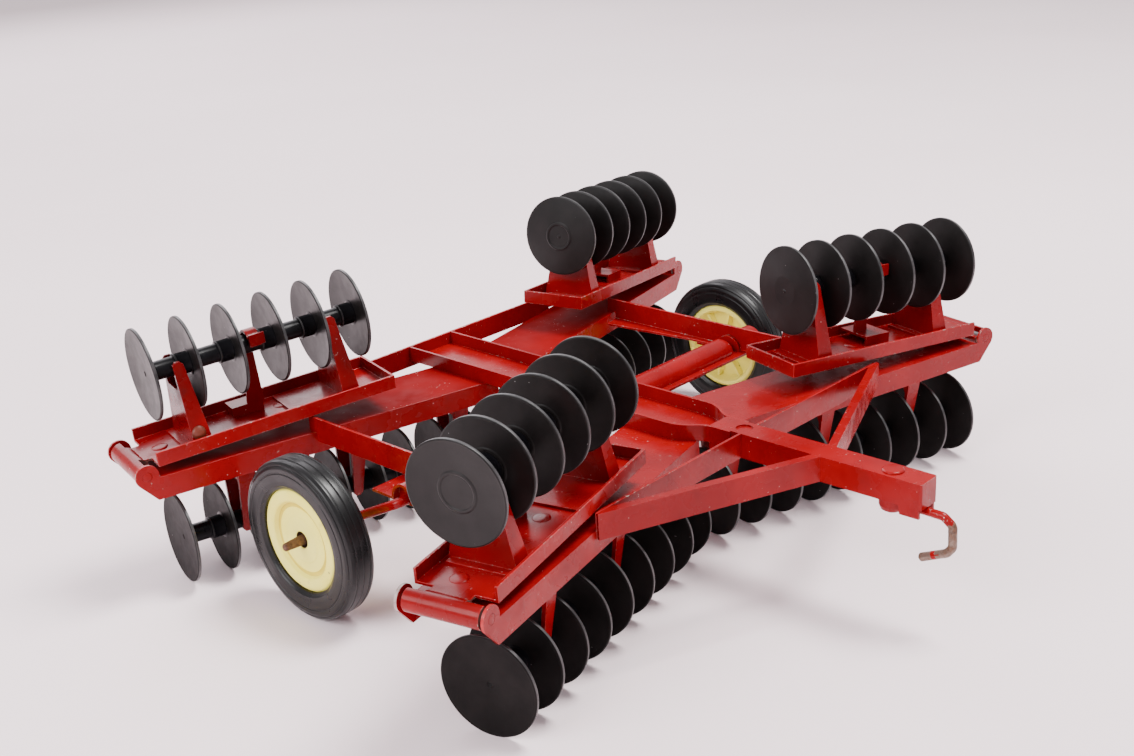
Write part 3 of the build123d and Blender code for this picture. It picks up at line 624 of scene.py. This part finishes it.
def tube_mesh(path, radius, seg=28, ends=0.35):
    """Swept wire with slightly rounded ends. radius may depend on the arc length."""
    fine = [path[0]]
    for a, b in zip(path, path[1:]):
        n = max(1, int((b - a).length / 1.5))
        fine += [a.lerp(b, k / n) for k in range(1, n + 1)]
    path = fine
    tang = [(path[min(i + 1, len(path) - 1)] - path[max(i - 1, 0)]).normalized() for i in range(len(path))]
    side = tang[0].cross(Vector((0.13, 0.27, 0.95))).normalized()
    rings, s = [], 0.0
    for i, (p, t) in enumerate(zip(path, tang)):
        side = (side - t * side.dot(t)).normalized()
        up = t.cross(side)
        if i:
            s += (p - path[i - 1]).length
        r = radius(s) if callable(radius) else radius
        rings.append((p, side.copy(), up, r))
    first, last = rings[0], rings[-1]
    rings = ([(first[0] + tang[0] * 0.0, first[1], first[2], 0.0), (first[0], first[1], first[2], first[3] - ends),
              (first[0] + tang[0] * ends, first[1], first[2], first[3])] + rings[1:-1] +
             [(last[0] - tang[-1] * ends, last[1], last[2], last[3]), (last[0], last[1], last[2], last[3] - ends), (last[0], last[1], last[2], 0.0)])
    V, F = [], []
    for p, sd, up, r in rings:
        for k in range(seg):
            a = 2 * math.pi * k / seg
            V.append(p + sd * (r * math.cos(a)) + up * (r * math.sin(a)))
    for i in range(len(rings) - 1):
        for k in range(seg):
            k2 = (k + 1) % seg
            F.append((i * seg + k, i * seg + k2, (i + 1) * seg + k2, (i + 1) * seg + k))
    return V, F, rings


def wire(name, path, radius, mats, body, slot, *nodes, pick=None, ends=0.35):
    V, F, rings = tube_mesh([Vector(p) for p in path], radius, ends=ends)
    idx = None
    if pick:
        idx = []
        for f in F:
            c = sum((V[i] for i in f), Vector()) / 4
            idx.append(pick(c))
    o = add(name, [P(*v) for v in V], F, mats, idx, None)
    bm = bmesh.new()
    bm.from_mesh(o.data)
    bmesh.ops.remove_doubles(bm, verts=bm.verts, dist=2e-6)
    bmesh.ops.recalc_face_normals(bm, faces=bm.faces)
    bm.to_mesh(o.data)
    bm.free()
    o.data.shade_smooth()
    o.data.set_sharp_from_angle(angle=math.radians(50))
    return give(o, body, slot, *nodes)


HOOK = [(-163.4, 43.8), (-176.6, 43.6), (-180.0, 41.0), (-180.2, 33.2), (-178.2, 30.6), (-168.6, 26.1)]
wire("look_hitch_hook", fillet([(0, y, z) for y, z in HOOK], 2.4), lambda s: 1.5, [WIRE, FLOORRED, BARE], "frame", "bare_wire", "hitch_hook",
     pick=lambda c: 1 if (c.z > 41.2 + 0.7 * math.sin(c.x * 3) and c.y > -180.4) or (c.z < 30 and -175.0 + 0.5 * math.sin(c.z * 4) < c.y < -172.9 and c.x < 0.4) else 0)

CRANK_DROP = 44.5 - TYRE_R
AXLE_Y = -24.4 + math.sqrt(32.3 ** 2 - CRANK_DROP ** 2)
RODX = 121.8 + 4.6 + 6.4
crank = [(0, -24.4, 44.5), (103.2, -24.4, 44.5), (108.6, AXLE_Y, TYRE_R), (RODX, AXLE_Y, TYRE_R)]
halfp = fillet(crank, 3.2)
full = [Vector((-p.x, p.y, p.z)) for p in reversed(halfp)][:-1] + halfp
LONG = sum((b - a).length for a, b in zip(full, full[1:]))
# the bare ends outside the hubs are a little tapered
wire("look_crank_axle", full, lambda s: 1.8 - 0.36 * max(0.0, 6.2 - min(s, LONG - s)) / 6.2, [RED, AXLE], "axle_crank", "red_paint", "crank_axle",
     pick=lambda c: 1 if abs(c.x) > 118 else 0, ends=0.4)

for row in BEAMS:
    for sname, side in SIDES:
        bf = beam_frame(row, sname)
        o0 = bf @ Vector((HINGE_U * MM, BEAM_V * MM, HINGE_Z * MM))
        ydir = (bf.to_3x3() @ Vector((0, 1, 0))).normalized()
        M = axis_matrix(o0, ydir)
        h = BEAM_W / 2
        prof = [(-h, 0.0, 0), (-h, 1.75, 0.2)]
        if row == "front":
            prof += [(h + 0.05, 1.75, 0), (h + 0.05, 2.9), (h + 0.7, 2.7), (h + 1.3, 1.7), (h + 1.5, 0.0, 0)]
        else:
            prof += [(h - 0.6, 1.75, 0.2), (h - 0.6, 0.0, 0)]
        L = Lathe().turn(rounded(prof, 0.3, 3), 40, 0, pick=lambda x, r, h=h: 1 if x < -h + 0.3 else (2 if x > h else 0))
        give(L.build(f"look_hinge_pin_{row}_{sname}", M, [PIN, RED, HEAD], 45), "frame", "pin_steel", f"hinge_pin_{row}_{sname}")

# rivet through the drawbar: flat head above, domed boss below
L = Lathe().turn(rounded([(55.75, 0.0, 0), (55.72, 3.3), (55.35, 3.8), (54.98, 3.8, 0)], 0.25, 3), 56, 0)
L.turn(rounded([(45.6, 4.6, 0), (42.8, 4.5), (41.3, 3.9), (40.4, 2.4), (40.2, 0.0, 0)], 0.6, 3), 56, 0)
L.turn([(54.0, 1.4), (45.6, 1.4)], 24, 0)
give(L.build("look_hitch_rivet", axis_matrix(P(0, -157.4, 0), (0, 0, 1)), [RED, EDGE], 45), "frame", "red_paint", "hitch_rivet")
L = Lathe().turn(rounded([(54.0, 1.2, 0), (45.4, 1.2), (45.4, 0, 0)], 0.2, 2), 24, 0)
give(L.build("look_hook_stud", axis_matrix(P(0, -166.6, 0), (0, 0, 1)), [WIRE], 45), "frame", "bare_wire", "hook_stud")


# ------------------------------------------------- small details on the wings
# pressed dimples on the tray floors: row, side, (x, v, height above the floor)
DIMPLES = [("rear", "right", [(-10.6, 0.4, 0), (-60.4, 3.2, 0)]), ("front", "right", [(-11.5, 3.0, 0), (-53.2, -1.4, 0)]),
           ("front", "left", [(-12.0, 0.0, 0), (-58.4, 1.2, 0)]), ("rear", "left", [(-12.0, 0.0, 0), (-62.0, 0.0, 0)])]
WING_FIRST, WING_H, FLOOR_Z = 12.45, 32.3, 3.0


def wing_frame(row, sname):
    """Matrix of a wing at rest: local X outwards, Y rearwards, Z up from the hinge axis."""
    g, f = JOINTS[f"disc_gang_{row}_{sname}_wing_spin"], JOINTS[f"wing_{row}_{sname}_fold"]
    x, h = Vector(g["axis"]).normalized(), Vector(f["axis"])
    z = x.cross(h).normalized()
    z = z if z.z > 0 else -z
    y = z.cross(x)
    y = y if y.y > 0 else -y
    o0 = Vector(g["pos_m"]) - x * ((-WING_FIRST - 2.5 * WING_SPACING) * MM) - z * (WING_H * MM)
    m = Matrix((x, y, z)).transposed().to_4x4()
    m.translation = o0
    return m


def dome(name, matrix, at, normal, prof, mats, body, slot, seg=40):
    """A turned detail standing on a surface: profile (height, radius)."""
    p0 = matrix @ (Vector(at) * MM)
    n = (matrix.to_3x3() @ Vector(normal)).normalized()
    L = Lathe().turn(rounded(prof, 0.2, 3), seg, 0)
    return give(L.build(name, axis_matrix(p0, n), mats, 50), body, slot)


DIMPLE = [(-0.2, 3.3, 0), (0.04, 3.2), (0.3, 2.7), (0.42, 1.6), (0.44, 0.0, 0)]
for row, sname, spots in DIMPLES:
    W = wing_frame(row, sname)
    for i, (x, v, up) in enumerate(spots):
        dome(f"dimple_{row}_{sname}_{i}", W, (x, v, FLOOR_Z + up), (0.06, 0.05, 1), DIMPLE, [RED], f"wing_{row}_{sname}", "red_paint")
W = wing_frame("rear", "right")
dome("ear_rivet", W, (-23.2, -11.25, FLOOR_Z + 5.6), (0, -1, 0.2), [(-0.4, 2.65, 0), (0.25, 2.6), (0.85, 2.05), (1.2, 1.05), (1.25, 0.0, 0)], [BRASS],
     "wing_rear_right", "red_paint")


# ---------------------------------------------------------- stage, light, eye
def plane(name, size, z, mat):
    me = bpy.data.meshes.new(name)
    n = 2
    s = size / 2
    me.from_pydata([(-s, -s, z), (s, -s, z), (s, s, z), (-s, s, z)], [], [(0, 1, 2, 3)])
    me.materials.append(mat)
    o = bpy.data.objects.new(name, me)
    bpy.context.scene.collection.objects.link(o)
    return o


fm = Nodes("Pale cloth floor")
fcol = fm.mix(fm.step(fm.noise(3.0, 4), 0.3, 0.7), (0.945, 0.795, 0.825), (0.975, 0.83, 0.86))
weave = fm.noise(900, 2)
fm.set(Base_Color=fcol, Roughness=0.85, Normal=fm.bump(weave, 0.08, 0.0002, fm.bump(fm.noise(7, 3), 0.35, 0.006)))
floor = plane("floor", 12.0, 0.0, fm.mat)


def area(name, pos, target, size, power, colour=(1, 1, 1), size_y=None):
    d = bpy.data.lights.new(name, "AREA")
    d.energy = power
    d.color = colour
    d.size = size
    if size_y:
        d.shape = "RECTANGLE"
        d.size_y = size_y
    o = bpy.data.objects.new(name, d)
    o.location = pos
    o.rotation_euler = (Vector(target) - Vector(pos)).to_track_quat("-Z", "Y").to_euler()
    bpy.context.scene.collection.objects.link(o)
    return o


area("key", (0.45, -0.30, 1.45), (0, 0, 0), 0.55, 38, (1.0, 0.985, 0.97))
area("left", (-1.35, 0.15, 1.0), (0, 0, 0), 1.0, 25, (0.99, 0.985, 1.0))
area("back", (0.5, 1.6, 1.1), (0, 0, 0.03), 1.5, 27, (1.0, 0.955, 1.0))
world = bpy.data.worlds.new("studio")
bpy.context.scene.world = world
world.use_nodes = True
bg = world.node_tree.nodes["Background"]
bg.inputs["Color"].default_value = (1.0, 0.955, 0.985, 1)
bg.inputs["Strength"].default_value = 0.86

# camera
cx, cy, cz = -386.24, -385.85, 261.88
yaw, pitch, roll = math.radians(45.69), math.radians(-20.99), math.radians(-3.41)
fwd = Vector((math.sin(yaw) * math.cos(pitch), math.cos(yaw) * math.cos(pitch), math.sin(pitch)))
right0 = Vector((math.cos(yaw), -math.sin(yaw), 0))
up0 = right0.cross(fwd)
right = right0 * math.cos(roll) + up0 * math.sin(roll)
up = -right0 * math.sin(roll) + up0 * math.cos(roll)
cam = bpy.data.cameras.new("eye")
cam.sensor_fit = "HORIZONTAL"
cam.sensor_width = 36
cam.lens = 45.99
cam.clip_start, cam.clip_end = 0.01, 50
co = bpy.data.objects.new("eye", cam)
Mc = Matrix((right, up, -fwd)).transposed().to_4x4()
Mc.translation = P(cx, cy, cz)
co.matrix_world = Mc
bpy.context.scene.collection.objects.link(co)
bpy.context.scene.camera = co
